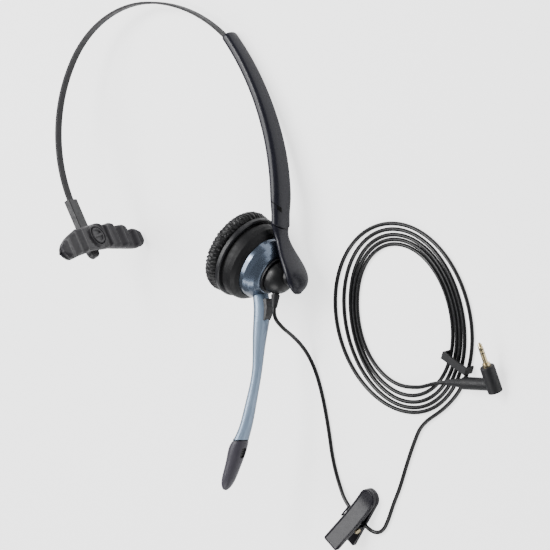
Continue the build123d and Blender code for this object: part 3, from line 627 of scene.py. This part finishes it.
# The filled ring is inflated as cloth, 20 times its size so that the solver's distances
# suit it, and comes back to size before the pleats are worked in.
swell_scale = 20.0
most_swelling = 0.0009
roll_along, roll_out = -0.1, 16.2
roll_half_height, roll_half_width = 3.8, 5.9
section_points, ring_points = 28, 120
blank = bmesh.new()
profile = []
for corner in range(section_points):
    turn = 2 * math.pi * corner / section_points
    c, s = math.cos(turn), math.sin(turn)
    profile.append((roll_along + roll_half_height * math.copysign(abs(s) ** 0.8, s),
                    roll_out + roll_half_width * math.copysign(abs(c) ** 0.8, c)))
rings = []
for step in range(ring_points):
    around = 2 * math.pi * step / ring_points
    rings.append([blank.verts.new(on_capsule(along, out, around) * swell_scale)
                  for along, out in profile])
join_rings(blank, rings, closed=True)
swelling = in_scene("cushion_swelling", as_mesh("cushion_blank", blank))
remesh = swelling.modifiers.new("remesh", "REMESH")
remesh.mode = "VOXEL"
remesh.voxel_size = 0.0008 * swell_scale
swelling.data = applied(swelling)
swelling.modifiers.clear()
before = [vertex.co.copy() for vertex in swelling.data.vertices]
cloth_sim = swelling.modifiers.new("cloth", "CLOTH")
cloth_sim.settings.use_pressure = True
cloth_sim.settings.uniform_pressure_force = 4.0
cloth_sim.settings.effector_weights.gravity = 0
cloth_sim.settings.quality = 5
cloth_sim.point_cache.frame_end = 20
for tick in range(1, 21):
    bpy.context.scene.frame_set(tick)
swelling.data = applied(swelling)
swelling.modifiers.clear()
bpy.context.scene.frame_set(1)
for vertex, start in zip(swelling.data.vertices, before):
    shift = vertex.co - start
    if shift.length > most_swelling * swell_scale:
        vertex.co = start + shift.normalized() * most_swelling * swell_scale
subdivide = swelling.modifiers.new("subdivide", "SUBSURF")
subdivide.levels = 1
cushion_mesh = applied(swelling)
bpy.data.objects.remove(swelling)

# Small gathers slant across the rim, deepest at its outer edge, and none are alike.
pleats = 58
normals = [vertex.normal.copy() for vertex in cushion_mesh.vertices]
for vertex, normal in zip(cushion_mesh.vertices, normals):
    point = vertex.co / swell_scale
    along, out, around = capsule_place(point)
    lean = math.atan2(along - roll_along, out - roll_out)
    reach = max(0.0, math.cos((lean + 0.35) * 0.85)) ** 1.4 if abs(lean + 0.35) < 1.8 else 0.0
    wander = 2.73 * noise.noise(Vector((around * 5, lean * 1.5, 0)))
    wave = pleats * around + 1.9 * lean + wander
    fold = (1 - abs(math.sin(wave / 2))) ** 1.5
    strength = 0.55 + 0.75 * abs(noise.noise(Vector((around * pleats / 9, lean, 4.0))))
    crease = 0.22 * noise.noise(Vector((around * 40, lean * 6, 9.0)))
    shift = (0.12 - 1.15 * fold * strength + crease) * reach * MM
    moved = point + normal * shift
    along, out, around = capsule_place(moved)
    vertex.co = on_capsule(min(along, 4.3), min(out, 23.0), around)
    vertex.co.z = max(vertex.co.z, 0.0001)
cushion = as_piece("gathered_cushion", cushion_mesh, leatherette, "ear_capsule")
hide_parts("ear_cushion")
cloth = moulded("speaker_cloth_weave", (0.012, 0.012, 0.012), (0.02, 0.02, 0.02), 0.8, 0.9)
finish_nodes(cloth, "cushion_cloth")

# ---- Arm's shell: a hollow moulding with full, rounded sides ----
# It sits on the yoke's round neck, swells above it, follows the head in two arcs and
# tapers to a lipped mouth for the strip. The catch's parting line is on its inner side.
arm_axis, straight_top = 19.4, 28.6
low_radius, low_turn = 116.9, math.radians(18.65)
high_radius, high_turn = 137.3, math.radians(21.6)
neck_y, neck_round = 23.0, 8.0
low_centre = Vector((arm_axis - low_radius, straight_top))
low_end = low_centre + Vector((math.cos(low_turn), math.sin(low_turn))) * low_radius
high_centre = low_end - Vector((math.cos(low_turn), math.sin(low_turn))) * high_radius


def arm_middle(length):
    """The arm's middle line: its point and outward angle, so far above the neck's middle."""
    if length < straight_top - neck_y:
        return Vector((arm_axis, neck_y + length)), 0.0
    length -= straight_top - neck_y
    if length < low_radius * low_turn:
        turn = length / low_radius
        return low_centre + Vector((math.cos(turn), math.sin(turn))) * low_radius, turn
    turn = low_turn + (length - low_radius * low_turn) / high_radius
    return high_centre + Vector((math.cos(turn), math.sin(turn))) * high_radius, turn


def rounded(around, half_thickness, half_width, power=2.25):
    """A point of a rounded oblong section: outward and sideways, in mm."""
    c, s = math.cos(around), math.sin(around)
    return (half_thickness * math.copysign(abs(c) ** (2 / power), c),
            half_width * math.copysign(abs(s) ** (2 / power), s))


mouth_length = 2.2
arm_length = (straight_top - neck_y + low_radius * low_turn + high_radius * high_turn
              + mouth_length)
spokes = 64


def arm_ring(length, inset):
    """Ring of points across the arm; inset is how far inside the outer surface."""
    middle, turn = arm_middle(length)
    thick = through([(0, 3.1), (5, 3.6), (10, 3.85), (30, 3.8), (60, 3.4), (95, 3.1)], length)
    wide = through([(0, 6.1), (8, 6.6), (20, 6.5), (60, 5.5), (95, 4.7)], length)
    ring = []
    for spoke in range(spokes):
        outward, side = rounded(2 * math.pi * spoke / spokes, thick - inset, wide - inset)
        ring.append(laid(middle.x + math.cos(turn) * outward,
                         middle.y + math.sin(turn) * outward, side))
    return ring


def neck_ring(share, rise, inset):
    """Ring on the neck's ball, or between its edge and the first straight section."""
    ring = []
    for spoke in range(spokes):
        outward, side = rounded(2 * math.pi * spoke / spokes, 3.1 - inset, 6.1 - inset)
        outward, side = outward * share, side * share
        y = neck_y + inset - math.sqrt(neck_round ** 2 - outward ** 2 - side ** 2)
        ring.append(laid(arm_axis + outward, y + (neck_y - y) * rise, side))
    return ring


wall = 0.5
arm_rings = [neck_ring(share, 0, 0) for share in (0.68, 0.76, 0.84, 0.91, 0.96, 0.99)]
arm_rings += [neck_ring(1.0, rise, 0) for rise in (0.03, 0.1, 0.25, 0.4, 0.55, 0.7, 0.85)]
arm_rings += [arm_ring(arm_length * step / 90, 0) for step in range(89)]
for step in range(1, 9):
    lip = math.pi / 2 * step / 8
    arm_rings.append(arm_ring(arm_length - 1.1 + 1.1 * math.sin(lip),
                              0.45 * (1 - math.cos(lip))))
arm_rings += [arm_ring(arm_length, 0.6), arm_ring(arm_length - 0.3, 0.7)]
arm_rings += [arm_ring(arm_length * step / 30 - 0.4, wall) for step in range(29, 0, -1)]
arm_rings += [neck_ring(1.0, rise, wall) for rise in (0.8, 0.5, 0.2)]
arm_rings += [neck_ring(share, 0, wall) for share in (0.96, 0.84, 0.76)]
arm_build = bmesh.new()
join_rings(arm_build, [[arm_build.verts.new(point) for point in ring] for ring in arm_rings],
           closed=True)
arm_shell = as_piece("arm_shell", as_mesh("arm_shell", arm_build), arm_slate, "arm")
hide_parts("arm_inner_cover", "arm_outer_shell")

# The yoke's lower end closes in a small rounded toe.
weld = 0.000001
toe_x, toe_y, toe_spokes = 30.0, -16.1, 48
toe_build = bmesh.new()
toe_rings = []
for step in range(9):
    lift = math.pi / 2 * step / 8
    toe_rings.append([toe_build.verts.new(laid(
        toe_x + 1.2 * math.cos(lift) * math.cos(2 * math.pi * spoke / toe_spokes),
        toe_y - 1.1 * math.sin(lift),
        3.25 * math.cos(lift) * math.sin(2 * math.pi * spoke / toe_spokes)))
        for spoke in range(toe_spokes)])
join_rings(toe_build, toe_rings, caps=(0,))
as_piece("yoke_toe", as_mesh("yoke_toe", toe_build, weld), slate, "yoke")

# ---- Boom joint: the spigot between the boom and its tip ----
# Black plastic, a little narrower than the boom's end, glued into both. It shows only
# as a dark line round the joint.
boom_node = nodes["boom"]
boom_heights = []
for vertex in boom_node.data.vertices:
    point = lay_down.transposed() @ ((boom_node.matrix_world @ vertex.co) / MM) + table_origin
    boom_heights.append((point.y, point))
boom_foot = min(height for height, point in boom_heights)
end_points = [point for height, point in boom_heights if height < boom_foot + 0.3]
end_middle = sum(end_points, Vector()) / len(end_points)
joint_build = bmesh.new()
for point in end_points:
    shrunk = end_middle + (point - end_middle) * 0.92
    for drop in (1.2, -1.4):
        joint_build.verts.new(laid(shrunk.x, shrunk.y + drop, shrunk.z))
hull = bmesh.ops.convex_hull(joint_build, input=joint_build.verts)
spare = [part for part in hull["geom_interior"] + hull["geom_unused"]
         if isinstance(part, bmesh.types.BMVert)]
bmesh.ops.delete(joint_build, geom=list(set(spare)), context="VERTS")
as_piece("tip_spigot", as_mesh("tip_spigot", joint_build), black_plastic, "ear_capsule")

# ---- Temple pad: rests on the head above the other ear ----
# Soft rubber with ribs, moulded in a scalloped outline on a black backing plate. A
# dished rivet holds both to the stem, and the pad turns on it.
pad_pivot = Vector((-104.513, 9.102, 0))
pad_up = Vector((-0.48481, 0.87462, 0))
pad_out = Vector((0.87462, 0.48481, 0))


def on_pad(along, up, out):
    """A point of the temple pad's own frame on the table, in metres."""
    return laid(*(pad_pivot + Vector((0, 0, -along)) + pad_up * up + pad_out * out))


upper_edge = [(-31.5, -8.6), (-31, -7), (-30, -5), (-27.5, -2.4), (-24, 0), (-15.5, 4.0),
              (-8, 5.5), (-2, 6.7), (3, 7.7), (5, 7.9), (6.2, 7.5), (7.2, 6.7), (10, 7.2),
              (13, 7.8), (14.4, 7.6), (15.8, 6.4), (16.8, 5.8), (19.5, 6.1), (21.8, 6.1),
              (23, 5.2), (24.4, 2.9), (26.8, 3.3), (29, 2.8), (30.6, 1.3), (31.6, -0.7),
              (32, -2.6)]
lower_edge = [(-31.5, -9.2), (-30, -11.2), (-28, -12.5), (-26, -13), (-18, -10.5),
              (-9, -8.4), (0, -6.9), (9, -6.0), (18, -6.6), (26, -7.4), (28.6, -7.2),
              (30.4, -6.2), (31.5, -4.8), (32, -3.2)]
ribs = [(-31.5, -1.1), (-27.4, 0.35), (-26.6, 0.0), (-23, -0.7), (-19.2, 0.5), (-18.4, 0.5),
        (-17.6, -0.5), (-15.4, -0.8), (-12.4, 0.5), (-11.5, 0.5), (-10.6, -0.5), (-7, -0.1),
        (6.0, 0.1), (7.4, -0.8), (8.8, 0.4), (9.8, 0.5), (10.7, -0.4), (12.5, -0.5),
        (14.6, 0.2), (16.4, -0.8), (18.8, 0.4), (19.9, 0.5), (20.7, -0.4), (22.4, 0.1),
        (24.3, -0.9), (26.4, 0.3), (27.5, 0.35), (28.3, -0.5), (30.3, 0.1), (32, -1.0)]


pad_left, pad_right = -31.5, 32


def pad_part(name, surface, underside, tuck):
    """A closed layer of the pad: a top surface, its edges and a flat underside."""
    build = bmesh.new()
    loops = []
    columns, rows = 150, 40
    for column in range(columns + 1):
        along = pad_left + (pad_right - pad_left) * column / columns
        top, bottom = through(upper_edge, along) - tuck, through(lower_edge, along) + tuck
        bow = along ** 2 / (246 if along > 0 else 1400)
        loop = []
        for row in range(rows + 1):
            up = bottom + (top - bottom) * row / rows
            edge = min(top - up, up - bottom, (pad_right - along) * 1.5,
                       (along - pad_left) * 1.5)
            loop.append(build.verts.new(on_pad(along, up, bow + surface(along, up, edge))))
        for inset, depth in ((0.1, underside + 1.2), (0.5, underside)):
            loop.append(build.verts.new(on_pad(along, top - inset, depth + bow)))
        for inset, depth in ((0.5, underside), (0.1, underside + 1.2)):
            loop.append(build.verts.new(on_pad(along, bottom + inset, depth + bow)))
        loops.append(loop)
    join_rings(build, loops, caps=(0, -1))
    return as_mesh(name, build)


def ribbed_surface(along, up, edge):
    """Height of the rubber's face: ribs across it, rounded edges and the boss's dish."""
    height = 7.2 + through(ribs, along) * min(1, edge / 1.1)
    height -= 1.3 * (1 - min(1, edge / 1.7)) ** 2
    off = math.hypot(along, up)
    if off < 8.0:
        ring = through([(0, 6.3), (4.7, 6.3), (4.85, 7.2), (5.4, 7.75), (5.9, 7.4),
                        (6.3, 6.4), (7.2, 6.6), (8.0, 7.2)], off)
        height = min(height, ring) if off > 7.2 else ring - 0.7 * (1 - min(1, edge / 0.8))
    return height


def plate_surface(along, up, edge):
    """Height of the backing plate's face."""
    return 3.8 - 0.5 * (1 - min(1, edge / 0.8)) ** 2


pad_skin = moulded("pad_rubber_skin", (0.013, 0.012, 0.015), (0.024, 0.022, 0.027), 0.34, 0.5,
                   grain_scale=2200, depth=0.00004)
ribbed_pad = as_piece("ribbed_pad", pad_part("ribbed_pad", ribbed_surface, 3.9, 0.0),
                      pad_skin, "temple_pad")
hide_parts("pad_rubber")
back_plate = as_piece("pad_back_plate", pad_part("pad_back_plate", plate_surface, 2.2, 0.4),
                      black_plastic, "temple_pad")
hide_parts("pad_backing")

# The rivet's head is a shallow dish: a raised rim with one bar across its middle.
boss_radius, boss_spokes = 4.5, 72
boss_build = bmesh.new()
boss_rings = []
for step in range(25):
    out = boss_radius * step / 24
    ring = []
    for spoke in range(boss_spokes):
        around = 2 * math.pi * spoke / boss_spokes
        along, up = out * math.cos(around), out * math.sin(around)
        height = through([(0, 7.0), (2.9, 7.0), (3.3, 7.75), (3.8, 7.8), (4.3, 7.6),
                          (boss_radius, 7.2)], out)
        if abs(up - 0.25 * along) < 0.75:
            height = max(height, 7.6)
        ring.append(boss_build.verts.new(on_pad(along, up, height)))
    boss_rings.append(ring)
skirt = []
for spoke in range(boss_spokes):
    around = 2 * math.pi * spoke / boss_spokes
    skirt.append(boss_build.verts.new(on_pad(boss_radius * math.cos(around),
                                             boss_radius * math.sin(around), 6.4)))
boss_rings.append(skirt)
join_rings(boss_build, boss_rings, caps=(-1,))
boss = as_piece("pad_boss", as_mesh("pad_boss", boss_build, weld), pad_skin, "temple_pad")
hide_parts("pad_rivet")
